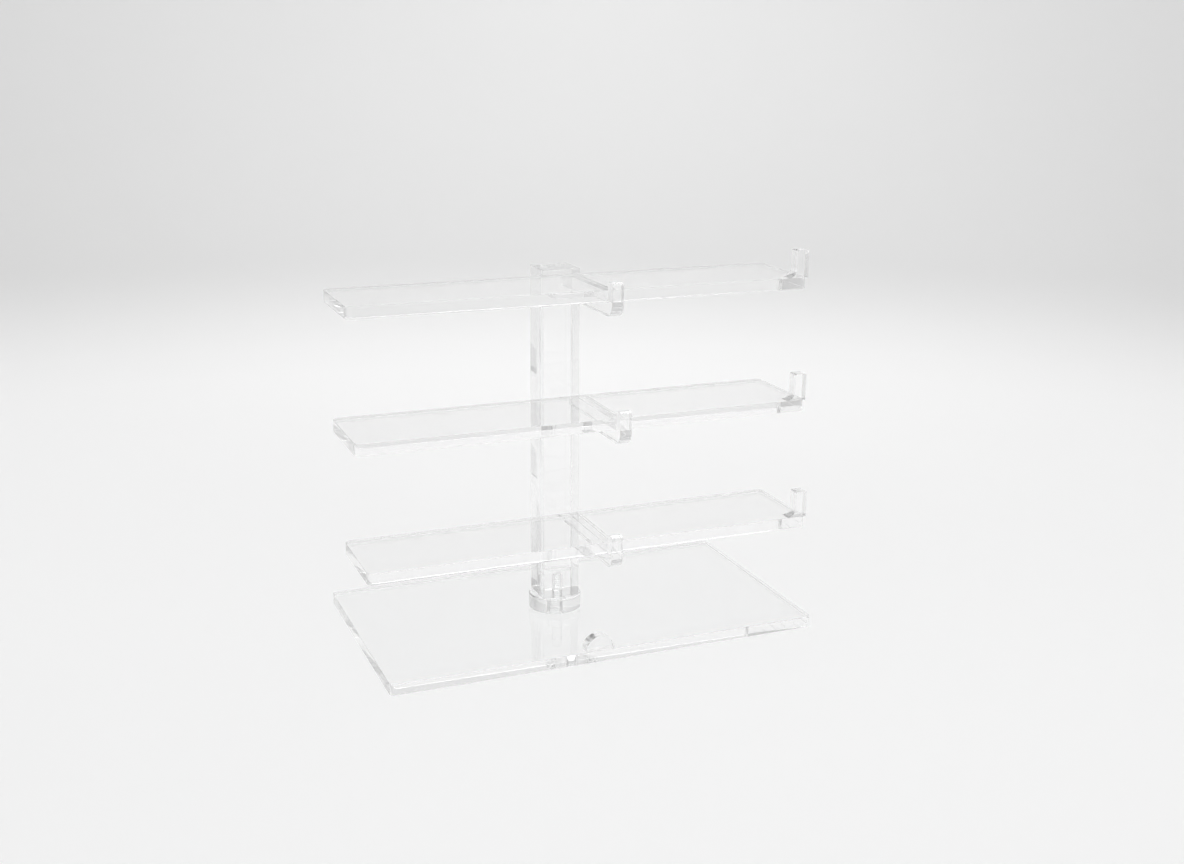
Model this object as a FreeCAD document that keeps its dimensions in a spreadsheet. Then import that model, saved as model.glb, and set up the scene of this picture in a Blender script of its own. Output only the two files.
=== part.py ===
import FreeCAD, Part
import math
import os
import Sketcher

# Clear acrylic rack for eyeglasses. Millimetres, +Z up, +Y to the back.
# The origin is the middle of the base plate's underside.

doc = FreeCAD.newDocument("eyeglass_display_rack")
sheet = doc.addObject("Spreadsheet::Sheet", "Sizes")

SIZES = [
    # the base plate
    ("plate_width", 165.0),
    ("plate_depth", 90.0),
    ("plate_thick", 4.2),
    ("plate_corner", 2.0),
    ("edge_break", 0.35),
    # the round disc under the post, and the screw that holds both
    ("collar_radius", 10.0),
    ("collar_high", 5.5),
    ("shank_radius", 2.0),
    ("head_radius", 3.7),
    ("head_high", 2.3),
    ("head_sunk", 0.3),
    ("head_rim", 0.3),
    ("point_radius", 1.2),
    ("point_high", 1.2),
    ("recess_thin", 0.9),
    ("recess_long", 4.0),
    ("recess_deep", 1.5),
    ("screw_depth", 8.0),
    ("running_gap", 0.08),
    # the square post
    ("post_side", 14.4),
    ("post_corner", 0.5),
    ("post_right", -4.6),
    ("post_back", 2.0),
    ("post_gap", 0.1),
    # the three shelves
    ("shelf_width", 165.0),
    ("shelf_depth", 34.5),
    ("shelf_thick", 4.1),
    ("shelf_corner", 2.5),
    ("shelf_right_low", -7.2),
    ("shelf_right_middle", -9.8),
    ("shelf_right_top", -11.2),
    ("shelf_front", -49.0),
    ("first_level", 47.0),
    ("level_step", 44.7),
    # the nose arms
    ("arm_width", 4.3),
    ("arm_high", 4.8),
    ("arm_heel", 4.2),
    ("arm_right_low", 2.4),
    ("arm_right_middle", 5.0),
    ("arm_right_top", 1.4),
    ("tip_thick", 3.6),
    ("tip_rise", 2.9),
    ("tip_gap", 0.3),
    ("tip_round", 0.9),
    # the stops on the shelves' right front corners
    ("stop_side", 4.3),
    ("stop_high", 9.6),
    ("stop_flare", 3.2),
    ("stop_round", 1.3),
    ("stop_inset", 0.0),
    # the nose rest on the base plate
    ("rest_width", 11.0),
    ("rest_depth", 4.3),
    ("rest_side", 1.2),
    ("rest_high", 5.4),
]

for row, (alias, value) in enumerate(SIZES, start=1):
    sheet.set("A%d" % row, alias)
    sheet.set("B%d" % row, str(value))
    sheet.setAlias("B%d" % row, alias)
doc.recompute()

LEVELS = {"low": 0, "middle": 1, "top": 2}


def size(alias):
    """The sheet's value for an alias, as a plain number."""
    return float(sheet.get(alias))


def origin_plane(body, role):
    """The body's own origin plane with this role."""
    for feature in body.Origin.OriginFeatures:
        if feature.Role == role:
            return feature
    raise ValueError("no plane called " + role)


def new_body(label):
    """An empty body whose label is also its file's name."""
    body = doc.addObject("PartDesign::Body", label)
    body.Label = label
    return body


def new_sketch(body, name, role):
    """A sketch on one of the body's origin planes."""
    sketch = body.newObject("Sketcher::SketchObject", name)
    sketch.AttachmentSupport = [(origin_plane(body, role), "")]
    sketch.MapMode = "FlatFace"
    return sketch


def pad(body, sketch, name, length, midplane=False, reverse=False):
    """Pad a sketch by an expression of the sheet."""
    feature = body.newObject("PartDesign::Pad", name)
    feature.Profile = sketch
    feature.setExpression("Length", length)
    feature.Midplane = midplane
    feature.Reversed = reverse
    sketch.Visibility = False
    return feature


def place(body, right="0", back="0", up="0"):
    """Place a body by expressions of the sheet."""
    body.setExpression("Placement.Base.x", right)
    body.setExpression("Placement.Base.y", back)
    body.setExpression("Placement.Base.z", up)


def name_size(sketch, index, name, expression):
    """Name a sketch's dimension and bind it to the sheet."""
    sketch.renameConstraint(index, name)
    sketch.setExpression("Constraints." + name, expression)


def rounded_rectangle(sketch, width_text, depth_text, corner_text):
    """A rectangle about the sketch's origin with four equal round corners."""
    r = evaluate(corner_text)
    x = evaluate(width_text) / 2
    y = evaluate(depth_text) / 2
    V = FreeCAD.Vector
    arcs = []
    for quarter, (across, along) in enumerate(((1, 1), (-1, 1), (-1, -1), (1, -1))):
        circle = Part.Circle(V(across * (x - r), along * (y - r), 0), V(0, 0, 1), r)
        start = quarter * math.pi / 2
        arcs.append(sketch.addGeometry(Part.ArcOfCircle(circle, start, start + math.pi / 2), False))
    ends = [
        (V(x - r, y, 0), V(-x + r, y, 0)),
        (V(-x, y - r, 0), V(-x, -y + r, 0)),
        (V(-x + r, -y, 0), V(x - r, -y, 0)),
        (V(x, -y + r, 0), V(x, y - r, 0)),
    ]
    lines = [sketch.addGeometry(Part.LineSegment(start, end), False) for start, end in ends]
    for side in range(4):
        following = (side + 1) % 4
        sketch.addConstraint(Sketcher.Constraint("Tangent", arcs[side], 2, lines[side], 1))
        sketch.addConstraint(Sketcher.Constraint("Tangent", lines[side], 2, arcs[following], 1))
        level = "Vertical" if side % 2 else "Horizontal"
        sketch.addConstraint(Sketcher.Constraint(level, lines[side]))
    sketch.addConstraint(Sketcher.Constraint("Symmetric", arcs[0], 3, arcs[2], 3, -1, 1))
    radius = sketch.addConstraint(Sketcher.Constraint("Radius", arcs[0], r))
    name_size(sketch, radius, "corner", corner_text)
    across = sketch.addConstraint(Sketcher.Constraint("Distance", lines[0], 2 * (x - r)))
    along = sketch.addConstraint(Sketcher.Constraint("Distance", lines[1], 2 * (y - r)))
    name_size(sketch, across, "across", "%s - 2 * (%s)" % (width_text, corner_text))
    name_size(sketch, along, "along", "%s - 2 * (%s)" % (depth_text, corner_text))


def rectangle(sketch, width_text, depth_text):
    """A rectangle about the sketch's origin."""
    x = evaluate(width_text) / 2
    y = evaluate(depth_text) / 2
    V = FreeCAD.Vector
    corners = [V(-x, -y, 0), V(x, -y, 0), V(x, y, 0), V(-x, y, 0)]
    for side in range(4):
        sketch.addGeometry(Part.LineSegment(corners[side], corners[(side + 1) % 4]), False)
    for side in range(4):
        sketch.addConstraint(Sketcher.Constraint("Coincident", side, 2, (side + 1) % 4, 1))
        level = "Vertical" if side % 2 else "Horizontal"
        sketch.addConstraint(Sketcher.Constraint(level, side))
    sketch.addConstraint(Sketcher.Constraint("Symmetric", 0, 1, 1, 2, -1, 1))
    name_size(sketch, sketch.addConstraint(Sketcher.Constraint("Distance", 0, 2 * x)), "across", width_text)
    name_size(sketch, sketch.addConstraint(Sketcher.Constraint("Distance", 1, 2 * y)), "along", depth_text)


def polygon(sketch, points):
    """A closed polygon whose corners are all at or right of and above the sketch's origin.

    Each corner is a pair of expressions of the sheet, "0" for a corner on an axis.
    """
    V = FreeCAD.Vector
    places = [V(evaluate(across), evaluate(up), 0) for across, up in points]
    count = len(points)
    for index in range(count):
        line = Part.LineSegment(places[index], places[(index + 1) % count])
        sketch.addGeometry(line, False)
    for index in range(count):
        following = (index + 1) % count
        sketch.addConstraint(Sketcher.Constraint("Coincident", index, 2, following, 1))
    for index, (across, up) in enumerate(points):
        for letter, axis, kind, text in (("a", -2, "DistanceX", across), ("b", -1, "DistanceY", up)):
            if text == "0":
                sketch.addConstraint(Sketcher.Constraint("PointOnObject", index, 1, axis))
                continue
            value = places[index].x if kind == "DistanceX" else places[index].y
            number = sketch.addConstraint(Sketcher.Constraint(kind, -1, 1, index, 1, value))
            name_size(sketch, number, "%s%d" % (letter, index), text)


def evaluate(text):
    """The value of an expression of the sheet's aliases, as a plain number."""
    value = sheet.evalExpression(text)
    return float(getattr(value, "Value", value))


def ring(sketch, radii):
    """Circles about the sketch's origin, each radius an expression of the sheet."""
    for index, text in enumerate(radii):
        value = evaluate(text)
        circle = Part.Circle(FreeCAD.Vector(0, 0, 0), FreeCAD.Vector(0, 0, 1), value)
        sketch.addGeometry(circle, False)
        sketch.addConstraint(Sketcher.Constraint("Coincident", index, 3, -1, 1))
        number = sketch.addConstraint(Sketcher.Constraint("Radius", index, value))
        name_size(sketch, number, "radius%d" % index, text)


def shift_sketch(sketch, across, out):
    """Shift a sketch in its plane to the right, and along its normal."""
    sketch.setExpression("AttachmentOffset.Base.x", across)
    sketch.setExpression("AttachmentOffset.Base.z", out)


def turn(body, kind, name, sketch):
    """A full Revolution or Groove of a sketch about its own upright axis."""
    feature = body.newObject("PartDesign::" + kind, name)
    feature.Profile = sketch
    feature.ReferenceAxis = (sketch, ["V_Axis"])
    feature.Angle = 360
    sketch.Visibility = False
    return feature


def pocket(body, sketch, name, length, reverse=False):
    """Pocket a sketch by an expression of the sheet."""
    feature = body.newObject("PartDesign::Pocket", name)
    feature.Profile = sketch
    feature.setExpression("Length", length)
    feature.Reversed = reverse
    sketch.Visibility = False
    return feature


def dress_edges(body, kind, base, name, wanted, expression):
    """Chamfer or Fillet the edges of a feature that pass a test."""
    doc.recompute()
    edges = [
        "Edge%d" % number
        for number, edge in enumerate(base.Shape.Edges, start=1)
        if wanted(edge)
    ]
    feature = body.newObject("PartDesign::" + kind, name)
    feature.Base = (base, edges)
    feature.setExpression("Size" if kind == "Chamfer" else "Radius", expression)
    return feature


def at_height(*heights):
    """A test for edges that lie wholly at one of these heights of the body."""
    def test(edge):
        box = edge.BoundBox
        return any(abs(box.ZMin - z) < 1e-4 and abs(box.ZMax - z) < 1e-4 for z in heights)
    return test


def at_corner(back, up):
    """A test for edges that run across the body through one corner of its side view."""
    def test(edge):
        box = edge.BoundBox
        same_back = abs(box.YMin - back) < 1e-4 and abs(box.YMax - back) < 1e-4
        return same_back and abs(box.ZMin - up) < 1e-4 and abs(box.ZMax - up) < 1e-4
    return test


def make_base_plate():
    """The rectangular plate, drilled and countersunk from below under the post."""
    body = new_body("base_plate")
    sketch = new_sketch(body, "plate_outline", "XY_Plane")
    rounded_rectangle(sketch, "Sizes.plate_width", "Sizes.plate_depth", "Sizes.plate_corner")
    slab = pad(body, sketch, "plate_slab", "Sizes.plate_thick")
    rims = at_height(0, size("plate_thick"))
    dress_edges(body, "Chamfer", slab, "plate_edge_break", rims, "Sizes.edge_break")
    hole = new_sketch(body, "screw_hole_outline", "XY_Plane")
    ring(hole, ["Sizes.shank_radius + Sizes.running_gap"])
    hole.setExpression("AttachmentOffset.Base.x", "Sizes.post_right")
    hole.setExpression("AttachmentOffset.Base.y", "Sizes.post_back")
    pocket(body, hole, "screw_hole", "Sizes.plate_thick", reverse=True)
    sink = new_sketch(body, "countersink_outline", "XZ_Plane")
    slope = "(Sizes.head_radius - Sizes.shank_radius) / (Sizes.head_high - Sizes.head_rim)"
    flare = "(Sizes.head_sunk + Sizes.head_rim) * " + slope
    mouth = "Sizes.head_radius + Sizes.running_gap + " + flare
    neck = "Sizes.shank_radius + Sizes.running_gap"
    neck_height = "Sizes.head_sunk + Sizes.head_high"
    polygon(sink, [("0", "0"), (mouth, "0"), (neck, neck_height), ("0", neck_height)])
    shift_sketch(sink, "Sizes.post_right", "-Sizes.post_back")
    turn(body, "Groove", "countersink", sink)
    return body


def make_nose_rest():
    """The arched block that stands on the plate, flush with its front edge."""
    body = new_body("base_nose_rest")
    sketch = new_sketch(body, "rest_outline", "XZ_Plane")
    half = size("rest_width") / 2
    side = size("rest_side")
    crown = size("rest_high")
    V = FreeCAD.Vector
    foot = sketch.addGeometry(Part.LineSegment(V(-half, 0, 0), V(half, 0, 0)), False)
    right = sketch.addGeometry(Part.LineSegment(V(half, 0, 0), V(half, side, 0)), False)
    arch = sketch.addGeometry(Part.Arc(V(half, side, 0), V(0, crown, 0), V(-half, side, 0)), False)
    left = sketch.addGeometry(Part.LineSegment(V(-half, side, 0), V(-half, 0, 0)), False)
    for first, second in ((foot, right), (right, arch), (arch, left), (left, foot)):
        sketch.addConstraint(Sketcher.Constraint("Coincident", first, 2, second, 1))
    sketch.addConstraint(Sketcher.Constraint("Horizontal", foot))
    sketch.addConstraint(Sketcher.Constraint("Vertical", right))
    sketch.addConstraint(Sketcher.Constraint("Vertical", left))
    sketch.addConstraint(Sketcher.Constraint("Symmetric", foot, 1, foot, 2, -1, 1))
    rise = "(Sizes.rest_high - Sizes.rest_side)"
    arch_radius = "((Sizes.rest_width / 2) ^ 2 + %s ^ 2) / (2 * %s)" % (rise, rise)
    width = sketch.addConstraint(Sketcher.Constraint("Distance", foot, 2 * half))
    name_size(sketch, width, "width", "Sizes.rest_width")
    upright = sketch.addConstraint(Sketcher.Constraint("Distance", right, side))
    name_size(sketch, upright, "upright", "Sizes.rest_side")
    bend = sketch.addConstraint(Sketcher.Constraint("Radius", arch, evaluate(arch_radius)))
    name_size(sketch, bend, "arch", arch_radius)
    pad(body, sketch, "rest_block", "Sizes.rest_depth", reverse=True)
    place(body, "Sizes.post_right", "-Sizes.plate_depth / 2 + Sizes.edge_break", "Sizes.plate_thick")
    return body


def make_collar():
    """The round disc between plate and post, drilled for the screw."""
    body = new_body("foot_collar")
    sketch = new_sketch(body, "collar_outline", "XY_Plane")
    ring(sketch, ["Sizes.collar_radius", "Sizes.shank_radius + Sizes.running_gap"])
    disc = pad(body, sketch, "collar_disc", "Sizes.collar_high")
    top_rims = at_height(size("collar_high"))
    dress_edges(body, "Chamfer", disc, "collar_edge_break", top_rims, "Sizes.edge_break")
    place(body, "Sizes.post_right", "Sizes.post_back", "Sizes.plate_thick")
    return body


def make_screw():
    """The countersunk screw with a crossed recess, point up."""
    body = new_body("foot_screw")
    sketch = new_sketch(body, "screw_outline", "XZ_Plane")
    shoulder = "Sizes.plate_thick + Sizes.collar_high + Sizes.post_gap + Sizes.screw_depth - Sizes.head_sunk"
    polygon(sketch, [
        ("0", "0"),
        ("Sizes.head_radius - Sizes.head_rim", "0"),
        ("Sizes.head_radius", "Sizes.head_rim"),
        ("Sizes.shank_radius", "Sizes.head_high"),
        ("Sizes.shank_radius", shoulder + " - Sizes.point_high"),
        ("Sizes.point_radius", shoulder),
        ("0", shoulder),
    ])
    turn(body, "Revolution", "screw_blank", sketch)
    doc.recompute()
    for name, across, along in (("slot", "recess_thin", "recess_long"), ("cross", "recess_long", "recess_thin")):
        slot = new_sketch(body, "recess_%s_outline" % name, "XY_Plane")
        rectangle(slot, "Sizes." + across, "Sizes." + along)
        pocket(body, slot, "recess_" + name, "Sizes.recess_deep", reverse=True)
    place(body, "Sizes.post_right", "Sizes.post_back", "Sizes.head_sunk")
    return body


def make_post():
    """The square bar with a blind hole for the screw in its lower end."""
    body = new_body("post")
    sketch = new_sketch(body, "post_outline", "XY_Plane")
    rounded_rectangle(sketch, "Sizes.post_side", "Sizes.post_side", "Sizes.post_corner")
    foot_height = "(Sizes.plate_thick + Sizes.collar_high + Sizes.post_gap)"
    post_length = "Sizes.first_level + 2 * Sizes.level_step - " + foot_height
    bar = pad(body, sketch, "post_bar", post_length)
    ends = at_height(0, evaluate(post_length))
    dress_edges(body, "Chamfer", bar, "post_edge_break", ends, "Sizes.edge_break")
    hole = new_sketch(body, "post_hole_outline", "XY_Plane")
    ring(hole, ["Sizes.shank_radius"])
    pocket(body, hole, "post_hole", "Sizes.screw_depth", reverse=True)
    place(body, "Sizes.post_right", "Sizes.post_back", foot_height)
    return body


def level_height(level):
    """The height of a shelf's upper face, as an expression."""
    return "(Sizes.first_level + %d * Sizes.level_step)" % LEVELS[level]


def make_shelf(level):
    """One flat shelf with round corners."""
    body = new_body("shelf_" + level)
    sketch = new_sketch(body, "shelf_outline_" + level, "XY_Plane")
    rounded_rectangle(sketch, "Sizes.shelf_width", "Sizes.shelf_depth", "Sizes.shelf_corner")
    slab = pad(body, sketch, "shelf_slab_" + level, "Sizes.shelf_thick")
    rims = at_height(0, size("shelf_thick"))
    dress_edges(body, "Chamfer", slab, "shelf_edge_break_" + level, rims, "Sizes.edge_break")
    centre_back = "Sizes.shelf_front + Sizes.shelf_depth / 2"
    place(body, "Sizes.shelf_right_" + level, centre_back, level_height(level) + " - Sizes.shelf_thick")
    return body


def make_arm(level):
    """One hooked bar: it runs forward from the post under the shelf and turns up in front."""
    body = new_body("nose_arm_" + level)
    sketch = new_sketch(body, "arm_outline_" + level, "YZ_Plane")
    tip_front = "(Sizes.shelf_front - Sizes.tip_gap - Sizes.tip_thick)"
    reach = "Sizes.post_back - Sizes.post_side / 2 - " + tip_front
    tip_height = "Sizes.arm_high + Sizes.shelf_thick + Sizes.tip_rise"
    polygon(sketch, [
        ("0", "0"),
        (reach, "0"),
        (reach, "Sizes.arm_high"),
        ("Sizes.tip_thick", "Sizes.arm_high"),
        ("Sizes.tip_thick", tip_height),
        ("0", tip_height),
    ])
    bar = pad(body, sketch, "arm_bar_" + level, "Sizes.arm_width", midplane=True)
    heel = dress_edges(body, "Fillet", bar, "arm_heel_" + level, at_corner(0, 0), "Sizes.arm_heel")
    tip = at_height(evaluate(tip_height))
    dress_edges(body, "Fillet", heel, "arm_tip_" + level, tip, "Sizes.tip_round")
    bottom = level_height(level) + " - Sizes.shelf_thick - Sizes.arm_high"
    place(body, "Sizes.post_right + Sizes.arm_right_" + level, tip_front, bottom)
    return body


def make_stop(level):
    """One upright stop with a flared foot, on a shelf's right front corner."""
    body = new_body("end_stop_" + level)
    sketch = new_sketch(body, "stop_outline_" + level, "XZ_Plane")
    flare = size("stop_flare")
    wide = flare + size("stop_side")
    high = size("stop_high")
    V = FreeCAD.Vector
    bend = Part.ArcOfCircle(Part.Circle(V(0, flare, 0), V(0, 0, 1), flare), 1.5 * math.pi, 2 * math.pi)
    arc = sketch.addGeometry(bend, False)
    corners = [V(flare, flare, 0), V(flare, high, 0), V(wide, high, 0), V(wide, 0, 0), V(0, 0, 0)]
    lines = [
        sketch.addGeometry(Part.LineSegment(start, end), False)
        for start, end in zip(corners, corners[1:])
    ]
    inner, top, outer, foot = lines
    joined = (
        (arc, 2, inner, 1),
        (inner, 2, top, 1),
        (top, 2, outer, 1),
        (outer, 2, foot, 1),
        (foot, 2, arc, 1),
    )
    for first, first_end, second, second_end in joined:
        sketch.addConstraint(Sketcher.Constraint("Coincident", first, first_end, second, second_end))
    sketch.addConstraint(Sketcher.Constraint("Coincident", foot, 2, -1, 1))
    sketch.addConstraint(Sketcher.Constraint("PointOnObject", arc, 3, -2))
    sketch.addConstraint(Sketcher.Constraint("Vertical", inner))
    sketch.addConstraint(Sketcher.Constraint("Horizontal", top))
    sketch.addConstraint(Sketcher.Constraint("Vertical", outer))
    sketch.addConstraint(Sketcher.Constraint("Horizontal", foot))
    radius = sketch.addConstraint(Sketcher.Constraint("Radius", arc, flare))
    name_size(sketch, radius, "flare", "Sizes.stop_flare")
    width = sketch.addConstraint(Sketcher.Constraint("DistanceX", foot, 2, foot, 1, wide))
    name_size(sketch, width, "width", "Sizes.stop_flare + Sizes.stop_side")
    height = sketch.addConstraint(Sketcher.Constraint("DistanceY", outer, 2, outer, 1, high))
    name_size(sketch, height, "height", "Sizes.stop_high")
    peg = pad(body, sketch, "stop_peg_" + level, "Sizes.stop_side", reverse=True)
    dress_edges(body, "Fillet", peg, "stop_round_" + level, at_height(high), "Sizes.stop_round")
    shelf_end = "Sizes.shelf_right_%s + Sizes.shelf_width / 2" % level
    left = shelf_end + " - Sizes.stop_inset - Sizes.stop_side - Sizes.stop_flare"
    place(body, left, "Sizes.shelf_front + Sizes.stop_inset", level_height(level))
    return body


def check(bodies):
    """Stop if any feature failed or any sub-part is not one valid solid."""
    for feature in doc.Objects:
        if "Invalid" in feature.State or "Error" in feature.State:
            raise RuntimeError("failed feature: " + feature.Label)
    for body in bodies:
        shape = body.Shape
        if shape.isNull() or not shape.isValid() or len(shape.Solids) != 1:
            raise RuntimeError("bad shape: " + body.Label)


parts = [make_base_plate(), make_nose_rest(), make_collar(), make_screw(), make_post()]
for level_name in LEVELS:
    parts.append(make_shelf(level_name))
    parts.append(make_arm(level_name))
    parts.append(make_stop(level_name))

doc.recompute()
check(parts)
os.makedirs("parts", exist_ok=True)
for part in parts:
    part.Shape.exportStep("parts/%s.step" % part.Label)
    box = part.Shape.BoundBox
    low = "%.2f %.2f %.2f" % (box.XMin, box.YMin, box.ZMin)
    high = "%.2f %.2f %.2f" % (box.XMax, box.YMax, box.ZMax)
    print("%-20s %9.1f mm3  from %s to %s" % (part.Label, part.Shape.Volume, low, high))
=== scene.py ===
import math

import bmesh
import bpy
from mathutils import Matrix, Vector


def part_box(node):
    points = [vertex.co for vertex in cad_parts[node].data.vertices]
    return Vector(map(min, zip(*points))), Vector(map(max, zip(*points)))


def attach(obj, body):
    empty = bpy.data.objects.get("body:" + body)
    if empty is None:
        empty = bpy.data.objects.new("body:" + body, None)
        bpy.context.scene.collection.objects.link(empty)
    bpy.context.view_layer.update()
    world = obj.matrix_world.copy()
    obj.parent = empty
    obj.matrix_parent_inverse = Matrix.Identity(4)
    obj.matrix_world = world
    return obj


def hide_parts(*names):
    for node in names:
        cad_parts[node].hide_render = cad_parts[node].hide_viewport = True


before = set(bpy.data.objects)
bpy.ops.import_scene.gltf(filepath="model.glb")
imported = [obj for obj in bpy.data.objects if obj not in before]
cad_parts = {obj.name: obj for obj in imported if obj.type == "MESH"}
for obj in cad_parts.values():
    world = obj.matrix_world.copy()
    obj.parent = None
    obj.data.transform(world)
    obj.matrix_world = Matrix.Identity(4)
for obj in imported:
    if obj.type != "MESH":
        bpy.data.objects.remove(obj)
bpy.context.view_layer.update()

MM = 0.001
LEVELS = ("low", "middle", "top")

# Cemented faces overlap by a hair. A ray then enters the second piece before it leaves the first,
# so the joint is as clear as cement makes it, and two clear faces never lie in one plane.
OVERLAP = 0.03 * MM
# The screw's end stops just short of the bottom of its hole, which it isn't cemented to.
END_SPACE = 0.08 * MM
# How far a cutter reaches past the face that it cuts through.
PAST = 1.0 * MM
# The rounding of the pieces' edges.
PLATE_EASE = POST_EASE = 0.14 * MM
SHELF_EASE = 0.12 * MM
TRIM_EASE = 0.16 * MM


# ---------------------------------------------------------------- node helpers

class Nodes:
    """A material's node tree with short calls for the nodes used here."""

    def __init__(self, name):
        self.material = bpy.data.materials.new(name)
        self.material.use_nodes = True
        self.tree = self.material.node_tree
        self.tree.nodes.clear()
        self.output = self.tree.nodes.new("ShaderNodeOutputMaterial")

    def new(self, kind, **settings):
        node = self.tree.nodes.new("ShaderNode" + kind)
        for key, value in settings.items():
            setattr(node, key, value)
        return node

    def link(self, source, target):
        self.tree.links.new(source, target)

    def put(self, node, **values):
        """Set a node's inputs by name, with _ for a space."""
        for key, value in values.items():
            node.inputs[key.replace("_", " ")].default_value = value
        return node

    def math(self, operation, a, b=None, clamp=False):
        node = self.new("Math", operation=operation, use_clamp=clamp)
        for index, value in enumerate((a, b)):
            if value is None:
                continue
            if isinstance(value, bpy.types.NodeSocket):
                self.link(value, node.inputs[index])
            else:
                node.inputs[index].default_value = value
        return node.outputs[0]

    def scaled(self, value, factor):
        return self.math("MULTIPLY", value, factor)

    def total(self, first, *others):
        for other in others:
            first = self.math("ADD", first, other)
        return first

    def ramp(self, value, low, high, to_low=0.0, to_high=1.0):
        """A smooth step from to_low to to_high as value goes from low to high."""
        node = self.new("MapRange", interpolation_type="SMOOTHSTEP")
        self.link(value, node.inputs["Value"])
        self.put(node, From_Min=low, From_Max=high, To_Min=to_low, To_Max=to_high)
        return node.outputs["Result"]

    def place(self, stretch=(1, 1, 1), turn=(0, 0, 0)):
        """The object's own coordinates in metres, stretched and turned."""
        coordinates = self.new("TexCoord")
        mapping = self.put(self.new("Mapping"), Scale=stretch, Rotation=turn)
        self.link(coordinates.outputs["Object"], mapping.inputs["Vector"])
        return mapping.outputs["Vector"]

    def noise(self, vector, scale, detail=3.0, rough=0.5):
        node = self.put(self.new("TexNoise"), Scale=scale, Detail=detail, Roughness=rough)
        self.link(vector, node.inputs["Vector"])
        return node.outputs["Fac"]

    def bump(self, height, strength, distance):
        node = self.put(self.new("Bump"), Strength=strength, Distance=distance)
        self.link(height, node.inputs["Height"])
        return node.outputs["Normal"]


# ------------------------------------------------------------------- materials

ACRYLIC_IOR = 1.49
ACRYLIC_TINT = (0.999, 0.9995, 0.9995)
SCREW_TINT = (0.985, 0.99, 0.99)
# The light that passes each face on its way to something behind the acrylic.
VEIL = (0.997, 0.998, 0.998, 1.0)

# Roughness that handling adds to a face, and how much a cut edge's roughness varies.
HAZE_ROUGH, WIPE_ROUGH, EDGE_ROUGH = 0.018, 0.02, 0.012
# Heights of the marks beside the slow wave of the cast sheet, which is 1.
WIPE_HEIGHT, SAW_HEIGHT, DRAW_HEIGHT = 0.04, 0.02, 0.07
BUMP_STRENGTH, BUMP_DISTANCE = 0.016, 0.12 * MM

# The share of light that the paper gives back lying flat, and the lower share up the wall, which
# is painted shade for the light that falls off there.
FLOOR_TONE, WALL_PAINTED_SHADE = 0.93, 0.66


def acrylic(
        name, clear, dull_edges, saw_pitch=0.0, draw_lines=False, tint=ACRYLIC_TINT, shine=0.5):
    """Clear acrylic with a few handling marks and its tool's lines.

    A face that looks up or down has the roughness clear and handling marks, and an upright one
    counts as a cut edge with the roughness dull_edges. saw_pitch scales the saw's lines on the
    cut edges, draw_lines adds a drawn bar's lines along Z, and shine is the specular level.
    """
    n = Nodes(name)
    shape = n.new("NewGeometry")
    split = n.new("SeparateXYZ")
    n.link(shape.outputs["Normal"], split.inputs[0])
    upright = n.math("SUBTRACT", 1.0, n.math("ABSOLUTE", split.outputs["Z"]), clamp=True)
    is_edge = n.ramp(upright, 0.55, 0.95)

    # faint rubbed haze in patches, and thin wiping scratches in two directions
    patches = n.ramp(n.noise(n.place(), 55.0, 4.0, 0.6), 0.42, 0.75)
    wipes_a = n.ramp(n.noise(n.place((1.0, 26.0, 1.0), (0, 0, 0.35)), 260.0, 2.0), 0.70, 0.80)
    wipes_b = n.ramp(n.noise(n.place((22.0, 1.0, 1.0), (0, 0, -0.5)), 240.0, 2.0), 0.72, 0.82)
    wipes = n.math("MAXIMUM", wipes_a, wipes_b)
    face_rough = n.total(clear, n.scaled(patches, HAZE_ROUGH), n.scaled(wipes, WIPE_ROUGH))
    edge_rough = n.total(dull_edges, n.scaled(n.noise(n.place(), 420.0, 2.0), EDGE_ROUGH))
    mix = n.new("Mix", data_type="FLOAT")
    n.link(is_edge, mix.inputs[0])
    n.link(face_rough, mix.inputs[2])
    n.link(edge_rough, mix.inputs[3])

    # height: the slow wave of the cast sheet, the wipes, and the tool's lines
    height = n.total(n.noise(n.place(), 38.0, 2.0), n.scaled(wipes, WIPE_HEIGHT))
    if saw_pitch:
        lines = n.new("TexWave", wave_type="BANDS", bands_direction="DIAGONAL")
        n.link(n.place((1.0, 1.0, 0.08)), lines.inputs["Vector"])
        n.put(lines, Scale=1.0 / saw_pitch, Distortion=1.6, Detail=2.0)
        sawn = n.math("MULTIPLY", lines.outputs["Fac"], is_edge)
        height = n.total(height, n.scaled(sawn, SAW_HEIGHT))
    if draw_lines:
        drawn = n.noise(n.place((1.0, 1.0, 0.012)), 900.0, 3.0, 0.6)
        height = n.total(height, n.scaled(drawn, DRAW_HEIGHT))

    body = n.put(
        n.new("BsdfPrincipled"), IOR=ACRYLIC_IOR, Transmission_Weight=1.0,
        Base_Color=(*tint, 1.0), Specular_IOR_Level=shine)
    n.link(mix.outputs[0], body.inputs["Roughness"])
    n.link(n.bump(height, BUMP_STRENGTH, BUMP_DISTANCE), body.inputs["Normal"])

    # the lights and the walls' light reach what is behind the acrylic, so it casts only a veil
    path = n.new("LightPath")
    passing = n.math("MAXIMUM", path.outputs["Is Shadow Ray"], path.outputs["Is Diffuse Ray"])
    veil = n.put(n.new("BsdfTransparent"), Color=VEIL)
    join = n.new("MixShader")
    n.link(passing, join.inputs[0])
    n.link(body.outputs[0], join.inputs[1])
    n.link(veil.outputs[0], join.inputs[2])
    n.link(join.outputs[0], n.output.inputs["Surface"])
    return n.material


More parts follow.
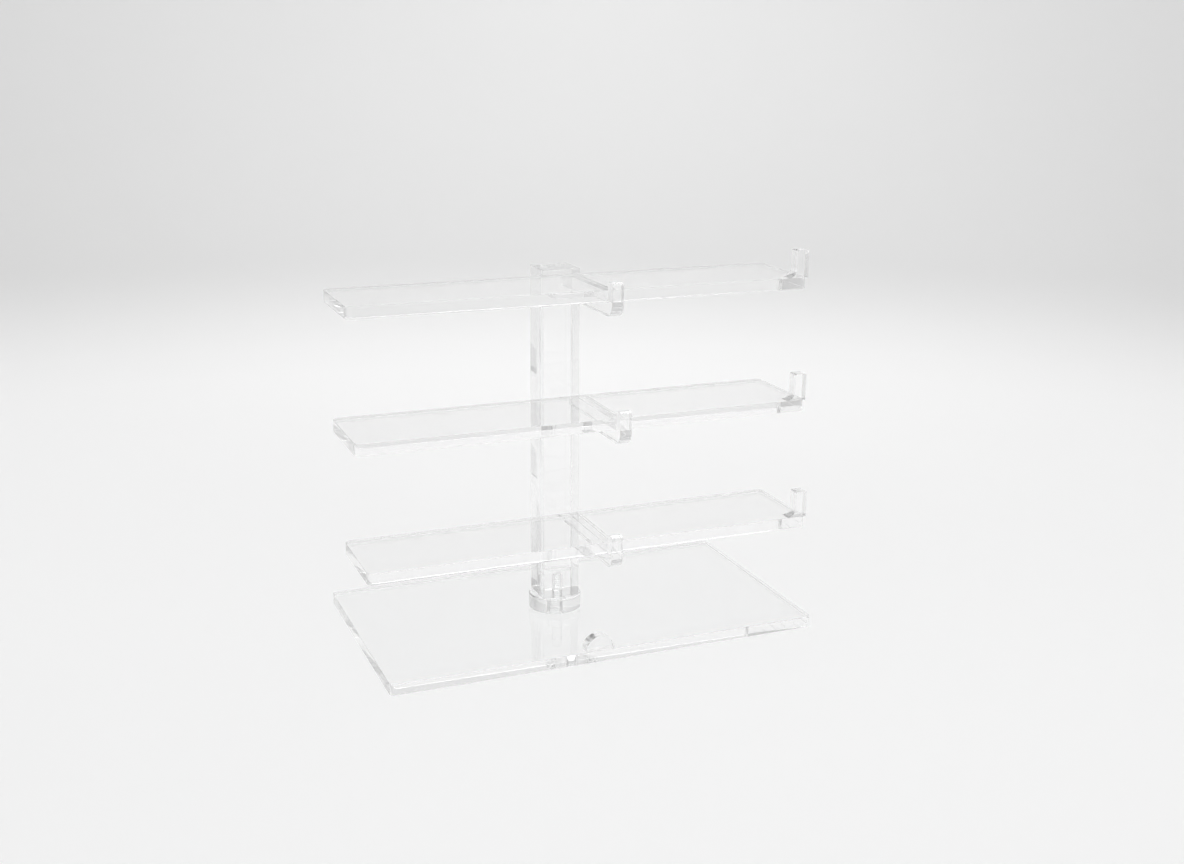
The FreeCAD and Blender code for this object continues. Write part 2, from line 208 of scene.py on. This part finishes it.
def paper_floor(name):
    """Matt white studio paper with a very fine tooth, painted greyer where it rises as a wall as
    painted shade.
    """
    n = Nodes(name)
    grain = n.noise(n.place(), 1400.0, 3.0)
    split = n.new("SeparateXYZ")
    n.link(n.place(), split.inputs[0])
    # painted shade: the paper's colour darkens as it rises into the wall, standing in for the
    # light falling off there
    wall_shade = n.ramp(split.outputs["Z"], -0.02, 0.05, FLOOR_TONE, WALL_PAINTED_SHADE)
    cloud = n.ramp(n.noise(n.place(), 2.2, 2.0), 0.3, 0.7, 0.985, 1.0)
    mottle_and_wall_shade = n.math("MULTIPLY", wall_shade, cloud)
    colour = n.new("CombineColor")
    for channel in colour.inputs:
        n.link(mottle_and_wall_shade, channel)
    body = n.put(n.new("BsdfPrincipled"), Roughness=0.9)
    n.link(colour.outputs[0], body.inputs["Base Color"])
    n.link(n.bump(grain, 0.05, 0.05 * MM), body.inputs["Normal"])
    n.link(body.outputs[0], n.output.inputs["Surface"])
    return n.material


# ------------------------------------------------------------------ mesh helpers

def mesh_object(name, bm, material):
    """A smooth-shaded object made from the bmesh, which is freed."""
    bmesh.ops.recalc_face_normals(bm, faces=bm.faces)
    mesh = bpy.data.meshes.new(name)
    bm.to_mesh(mesh)
    bm.free()
    for polygon in mesh.polygons:
        polygon.use_smooth = True
    piece = bpy.data.objects.new(name, mesh)
    bpy.context.scene.collection.objects.link(piece)
    piece.data.materials.append(material)
    return piece


def apply_modifiers(piece):
    graph = bpy.context.evaluated_depsgraph_get()
    mesh = bpy.data.meshes.new_from_object(piece.evaluated_get(graph), depsgraph=graph)
    old = piece.data
    piece.modifiers.clear()
    piece.data = mesh
    bpy.data.meshes.remove(old)


def bevel_piece(piece, width):
    """Round the piece's sharp edges and apply it, with even shading on the flat faces."""
    bevel = piece.modifiers.new("bevel", "BEVEL")
    bevel.width = width
    bevel.segments = 3
    bevel.limit_method = "ANGLE"
    bevel.angle_limit = math.radians(30.0)
    bevel.harden_normals = True
    apply_modifiers(piece)


def cut(piece, cutter):
    """Subtract the cutter from the piece and remove the cutter."""
    boolean = piece.modifiers.new("cut", "BOOLEAN")
    boolean.operation = "DIFFERENCE"
    boolean.solver = "EXACT"
    boolean.object = cutter
    apply_modifiers(piece)
    bpy.data.objects.remove(cutter)


def shade_by_angle(piece, degrees):
    """Smooth shading, split where faces meet more sharply than this."""
    limit = math.radians(degrees)
    mesh = piece.data
    bm = bmesh.new()
    bm.from_mesh(mesh)
    for edge in bm.edges:
        if len(edge.link_faces) == 2 and edge.calc_face_angle(0.0) > limit:
            edge.smooth = False
    bm.to_mesh(mesh)
    bm.free()


def arc(centre, radius, start, end, steps):
    """Points of an arc between two angles in degrees."""
    points = []
    for step in range(steps + 1):
        angle = math.radians(start + (end - start) * step / steps)
        points.append((centre[0] + radius * math.cos(angle), centre[1] + radius * math.sin(angle)))
    return points


def extrude_outline(points, place, depth):
    """A solid bmesh: the outline's points put in space by place(a, b, t), from t = 0 to depth."""
    bm = bmesh.new()
    near = [bm.verts.new(place(a, b, 0.0)) for a, b in points]
    far = [bm.verts.new(place(a, b, depth)) for a, b in points]
    bm.faces.new(near)
    bm.faces.new(list(reversed(far)))
    count = len(points)
    for index in range(count):
        following = (index + 1) % count
        bm.faces.new((near[index], far[index], far[following], near[following]))
    return bm


def add_ring(bm, centre, points):
    """A ring of vertices round a line along Z, one for each (radius, height), evenly turned."""
    count = len(points)
    return [
        bm.verts.new(centre + Vector((
            radius * math.cos(2 * math.pi * step / count),
            radius * math.sin(2 * math.pi * step / count),
            height,
        )))
        for step, (radius, height) in enumerate(points)
    ]


def join_rings(bm, lower, upper):
    """The faces between two rings. Either may be one vertex, which makes them triangles."""
    count = max(len(lower), len(upper))
    for step in range(count):
        following = (step + 1) % count
        if len(lower) == 1:
            bm.faces.new((lower[0], upper[step], upper[following]))
        elif len(upper) == 1:
            bm.faces.new((lower[step], lower[following], upper[0]))
        else:
            bm.faces.new((lower[step], lower[following], upper[following], upper[step]))


def revolve(profile, centre, segments=64):
    """A bmesh turned from (radius, height) pairs, with one vertex where the radius is 0."""
    bm = bmesh.new()
    rings = [
        add_ring(bm, centre, [pair] * (segments if pair[0] else 1)) for pair in profile]
    for lower, upper in zip(rings, rings[1:]):
        join_rings(bm, lower, upper)
    return bm


def axis_point(low, high, z=0.0):
    """The middle of a box seen from above, at height z."""
    return Vector(((low.x + high.x) / 2, (low.y + high.y) / 2, z))


# ----------------------------------------------------------------------- pieces

def rounded_prism(name, node, outline, place, depth, ease, material):
    """An extruded outline with its edges rounded, in the CAD node's place."""
    piece = mesh_object(name, extrude_outline(outline, place, depth), material)
    bevel_piece(piece, ease)
    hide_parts(node)
    return piece


def rounded_sheet(name, node, corner, ease, material):
    """An upright prism with the node's height and round corners, for a sheet or a bar."""
    low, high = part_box(node)
    left, right = low.x + corner, high.x - corner
    front, back = low.y + corner, high.y - corner
    outline = arc((right, front), corner, -90, 0, 8)
    outline += arc((right, back), corner, 0, 90, 8)
    outline += arc((left, back), corner, 90, 180, 8)
    outline += arc((left, front), corner, 180, 270, 8)
    return rounded_prism(
        name, node, outline, lambda a, b, t: Vector((a, b, low.z + t)), high.z - low.z,
        ease, material)


def make_nose_arm(level, material):
    """The hooked bar: straight under the shelf, with a rounded heel and a softly rounded tip."""
    node = "nose_arm_" + level
    low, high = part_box(node)
    front, back = low.y, high.y + OVERLAP
    bottom, tip_top = low.z, high.z
    bar_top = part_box("shelf_" + level)[0].z + OVERLAP
    heel, tip_thick, crown = 4.2 * MM, 3.6 * MM, 0.9 * MM
    tip_back = front + tip_thick
    outline = arc((front + heel, bottom + heel), heel, 180, 270, 14)
    outline += [(back, bottom), (back, bar_top), (tip_back, bar_top)]
    outline += arc((tip_back - crown, tip_top - crown), crown, 0, 90, 6)
    outline += arc((front + crown, tip_top - crown), crown, 90, 180, 6)
    return rounded_prism(
        node + "_polished", node, outline, lambda a, b, t: Vector((low.x + t, a, b)),
        high.x - low.x, TRIM_EASE, material)


def make_end_stop(level, material):
    """The upright peg whose left side sweeps out into its foot."""
    node = "end_stop_" + level
    low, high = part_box(node)
    flare, corner, toe = 3.2 * MM, 0.5 * MM, 0.12 * MM
    flare_end = -86
    inner = low.x + flare
    foot = low.z - OVERLAP
    outline = [(low.x + toe, foot), (high.x, foot)]
    outline += arc((high.x - corner, high.z - corner), corner, 0, 90, 5)
    outline += arc((inner + corner, high.z - corner), corner, 90, 180, 5)
    outline += arc((low.x, low.z + flare), flare, 0, flare_end, 14)
    return rounded_prism(
        node + "_polished", node, outline, lambda a, b, t: Vector((a, high.y - t, b)),
        high.y - low.y, TRIM_EASE, material)


def make_nose_rest(material):
    """The low arched block, its crown and ends eased."""
    low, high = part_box("base_nose_rest")
    half = (high.x - low.x) / 2
    side = 1.2 * MM
    rise = (high.z - low.z) - side
    radius = (half ** 2 + rise ** 2) / (2 * rise)
    centre = ((high.x + low.x) / 2, high.z - radius)
    spread = math.degrees(math.asin(half / radius))
    foot = low.z - OVERLAP
    outline = [(low.x, foot), (high.x, foot)]
    outline += arc(centre, radius, 90 - spread, 90 + spread, 24)
    return rounded_prism(
        "base_nose_rest_polished", "base_nose_rest", outline,
        lambda a, b, t: Vector((a, high.y - t, b)), high.y - low.y, TRIM_EASE, material)


def make_base_plate(material):
    """The eased base sheet with its screw hole and the cone that takes the screw's head."""
    centre = axis_point(*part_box("foot_screw"))
    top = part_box("base_plate")[1].z
    corner = 2.0 * MM
    piece = rounded_sheet("base_plate_eased", "base_plate", corner, PLATE_EASE, material)
    neck, mouth, neck_height = 2.05 * MM, 4.19 * MM, 2.9 * MM
    slope = (mouth - neck) / neck_height
    profile = [
        (0.0, -PAST), (mouth + slope * PAST, -PAST), (neck, neck_height),
        (neck, top + PAST), (0.0, top + PAST)]
    cut(piece, mesh_object("screw_hole_cutter", revolve(profile, centre), material))
    shade_by_angle(piece, 25.0)
    return piece


def make_post(material):
    """The square drawn bar with the blind hole for the screw in its lower end."""
    low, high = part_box("post")
    corner = 0.5 * MM
    piece = rounded_sheet("post_eased", "post", corner, POST_EASE, material)
    hole, depth = 2.0 * MM, 8.0 * MM
    profile = [(0.0, -PAST), (hole, -PAST), (hole, depth), (0.0, depth)]
    cutter = revolve(profile, axis_point(low, high, low.z))
    cut(piece, mesh_object("post_hole_cutter", cutter, material))
    shade_by_angle(piece, 25.0)
    return piece


def make_collar(material):
    """The turned disc with its bore, its upper rim rounded."""
    low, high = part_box("foot_collar")
    centre = axis_point(low, high)
    outer = (high.x - low.x) / 2
    bore, ease = 2.05 * MM, 0.6 * MM
    foot, top = low.z - OVERLAP, high.z
    section = [(bore, foot), (outer, foot)]
    section += [(outer - ease + r, z) for r, z in arc((0.0, top - ease), ease, 0, 90, 8)]
    section.append((bore, top))
    bm = bmesh.new()
    segments = 128
    rings = []
    for step in range(segments):
        angle = 2 * math.pi * step / segments
        across = Vector((math.cos(angle), math.sin(angle), 0.0))
        rings.append([bm.verts.new(centre + across * r + Vector((0, 0, z))) for r, z in section])
    for step in range(segments):
        join_rings(bm, rings[step], rings[(step + 1) % segments])
    piece = mesh_object("foot_collar_turned", bm, material)
    shade_by_angle(piece, 28.0)
    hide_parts("foot_collar")
    return piece


def make_screw(material):
    """The clear countersunk screw: crossed recess, coned head, and a thread up its shank."""
    low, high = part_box("foot_screw")
    centre = axis_point(low, high, low.z)
    length = high.z - low.z - END_SPACE
    head, shank, root, tip = 3.7 * MM, 1.93 * MM, 1.58 * MM, 1.2 * MM
    rim, cone, tip_length = 0.3 * MM, 2.3 * MM, 1.1 * MM
    pitch, thread_start, taper_start = 0.7 * MM, 10.2 * MM, length - tip_length
    steepness, flat_root = 2.6, 0.15
    segments, rows_per_turn = 40, 10
    rows = int((length - cone) / pitch * rows_per_turn)

    def shank_radius(angle, z):
        phase = (z / pitch - angle / (2 * math.pi)) % 1.0
        ridge = max(0.0, min(1.0, steepness * (0.5 - abs(phase - 0.5)) - flat_root))
        fade = min(1.0, max(0.0, (z - thread_start) / pitch))
        radius = shank * (1 - fade) + (root + (shank - root) * ridge) * fade
        if z > taper_start:
            taper = (z - taper_start) / (length - taper_start)
            radius = min(radius, shank + (tip - shank) * taper)
        return radius

    outlines = [[(head - rim, 0.0)] * segments, [(head, rim)] * segments]
    for row in range(rows + 1):
        z = cone + (length - cone) * row / rows
        outlines.append([
            (shank_radius(2 * math.pi * step / segments, z), z) for step in range(segments)])
    bm = bmesh.new()
    rings = [add_ring(bm, centre, outline) for outline in outlines]
    for lower, upper in zip(rings, rings[1:]):
        join_rings(bm, lower, upper)
    bm.faces.new(list(reversed(rings[0])))
    bm.faces.new(rings[-1])
    piece = mesh_object("foot_screw_threaded", bm, material)

    # each slot of the recess: half its length, half its width and its height, inside and outside
    slot_inside = (1.5 * MM, 0.34 * MM, 1.5 * MM)
    slot_outside = (2.1 * MM, 0.46 * MM, -0.3 * MM)
    for turn in (0.0, math.pi / 2):
        cutter = bmesh.new()
        bmesh.ops.create_cube(cutter, size=1.0)
        for vertex in cutter.verts:
            reach, thin, height = slot_inside if vertex.co.z > 0 else slot_outside
            vertex.co.x = math.copysign(reach, vertex.co.x)
            vertex.co.y = math.copysign(thin, vertex.co.y)
            vertex.co.z = height
        bmesh.ops.rotate(
            cutter, cent=(0, 0, 0), matrix=Matrix.Rotation(turn, 3, "Z"), verts=cutter.verts)
        bmesh.ops.translate(cutter, vec=centre, verts=cutter.verts)
        cut(piece, mesh_object("recess_cutter", cutter, material))
    shade_by_angle(piece, 35.0)
    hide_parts("foot_screw")
    return piece


# --------------------------------------------------------------------- assembly

SHELF_CORNER = 2.5 * MM

sheet = acrylic("acrylic_sheet", 0.0, dull_edges=0.012, saw_pitch=0.0011)
plate = acrylic("acrylic_plate", 0.0, dull_edges=0.014, saw_pitch=0.0013, shine=0.3)
bar = acrylic("acrylic_bar", 0.0, dull_edges=0.004, draw_lines=True)
trim = acrylic("acrylic_trim", 0.003, dull_edges=0.008, saw_pitch=0.0009)
moulded = acrylic("clear_screw", 0.02, dull_edges=0.03, tint=SCREW_TINT)

for piece, body, slot in (
    (make_base_plate(plate), "base", "plate_acrylic"),
    (make_post(bar), "display", "post_acrylic"),
    (make_nose_rest(trim), "base", "trim_acrylic"),
    (make_collar(trim), "base", "trim_acrylic"),
    (make_screw(moulded), "display", "screw_clear"),
):
    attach(piece, body)
for level in LEVELS:
    shelf = rounded_sheet(
        "shelf_%s_eased" % level, "shelf_" + level, SHELF_CORNER, SHELF_EASE, sheet)
    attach(shelf, "display")
    for piece in (make_nose_arm(level, trim), make_end_stop(level, trim)):
        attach(piece, "display")


# ------------------------------------------------------------------------- stage

def make_sweep():
    """A round paper sweep: flat under the object, curving up to a wall on every side."""
    flat, bend, wall = 0.75, 0.70, 1.5
    # a hair below the plate, so that the paper doesn't touch its clear underside
    middle = Vector((-0.15, -0.37, -0.00015))
    profile = [(0.0, 0.0), (0.2, 0.0), (0.5, 0.0), (flat, 0.0)]
    steps = 20
    for step in range(1, steps + 1):
        angle = math.pi / 2 * step / steps
        profile.append((flat + bend * math.sin(angle), bend * (1 - math.cos(angle))))
    profile.append((flat + bend, wall))
    return mesh_object("studio_sweep", revolve(profile, middle, 96), paper_floor("studio_paper"))


make_sweep()


def area_light(name, place, aim, size, power):
    lamp = bpy.data.lights.new(name, "AREA")
    lamp.shape = "RECTANGLE"
    lamp.size, lamp.size_y = size
    lamp.energy = power
    holder = bpy.data.objects.new(name, lamp)
    bpy.context.scene.collection.objects.link(holder)
    holder.location = place
    direction = Vector(aim) - Vector(place)
    holder.rotation_mode = "QUATERNION"
    holder.rotation_quaternion = direction.to_track_quat("-Z", "Y")
    return holder


ORIGIN = (0.0, 0.0, 0.0)
overhead = area_light("overhead_softbox", (0.0, 0.05, 1.25), ORIGIN, (1.7, 1.7), 7.65)
near = area_light("near_softbox", (-0.05, -0.15, 0.75), ORIGIN, (0.5, 0.5), 0.312)
# Mirrored in the sheets, these two would wash out the view from above.
overhead.visible_glossy = False
near.visible_glossy = False
area_light("key_softbox", (0.46, -0.34, 1.25), (0.0, 0.0, 0.08), (0.25, 0.25), 0.946)
backdrop = area_light(
    "backdrop_light", (-0.25, -0.65, 1.0), (0.38, 0.92, 0.25), (0.4, 0.3), 0.734)
backdrop.data.spread = math.radians(50)

world = bpy.data.worlds.new("studio_world")
bpy.context.scene.world = world
world.use_nodes = True
sky = world.node_tree.nodes["Background"]
sky.inputs["Color"].default_value = (1.0, 1.0, 1.0, 1.0)
sky.inputs["Strength"].default_value = 0.77


# ------------------------------------------------------------------------ camera

# The focal length in pixels of a frame this wide, and where the camera stands round TARGET.
FOCAL_PX, FRAME_PX = 1436.5, 1184.0
YAW, PITCH, ROLL = math.radians(-22.468), math.radians(15.799), math.radians(0.477)
DISTANCE = 0.5446
TARGET = Vector((0.009714, 0.0, 0.072829))
SENSOR_MM = 36.0
# Light runs a long way inside clear sheets before it comes out.
CLEAR_BOUNCES, DIFFUSE_BOUNCES, VEIL_BOUNCES = 128, 5, 48

data = bpy.data.cameras.new("camera")
data.sensor_width = SENSOR_MM
data.lens = FOCAL_PX / FRAME_PX * SENSOR_MM
data.clip_start, data.clip_end = 0.01, 20.0
camera = bpy.data.objects.new("camera", data)
bpy.context.scene.collection.objects.link(camera)
bpy.context.scene.camera = camera
away = Vector((
    math.sin(YAW) * math.cos(PITCH), -math.cos(YAW) * math.cos(PITCH), math.sin(PITCH)))
camera.location = TARGET + away * DISTANCE
right = (-away).cross(Vector((0, 0, 1))).normalized()
up = right.cross(-away)
tilted_right = right * math.cos(ROLL) + up * math.sin(ROLL)
tilted_up = up * math.cos(ROLL) - right * math.sin(ROLL)
camera.rotation_mode = "QUATERNION"
camera.rotation_quaternion = Matrix(
    (tilted_right, tilted_up, away)).transposed().to_quaternion()

scene = bpy.context.scene
scene.view_settings.view_transform = "Standard"
scene.cycles.max_bounces = CLEAR_BOUNCES
scene.cycles.transmission_bounces = CLEAR_BOUNCES
scene.cycles.glossy_bounces = CLEAR_BOUNCES
scene.cycles.diffuse_bounces = DIFFUSE_BOUNCES
scene.cycles.transparent_max_bounces = VEIL_BOUNCES
scene.cycles.caustics_reflective = False
scene.cycles.caustics_refractive = False
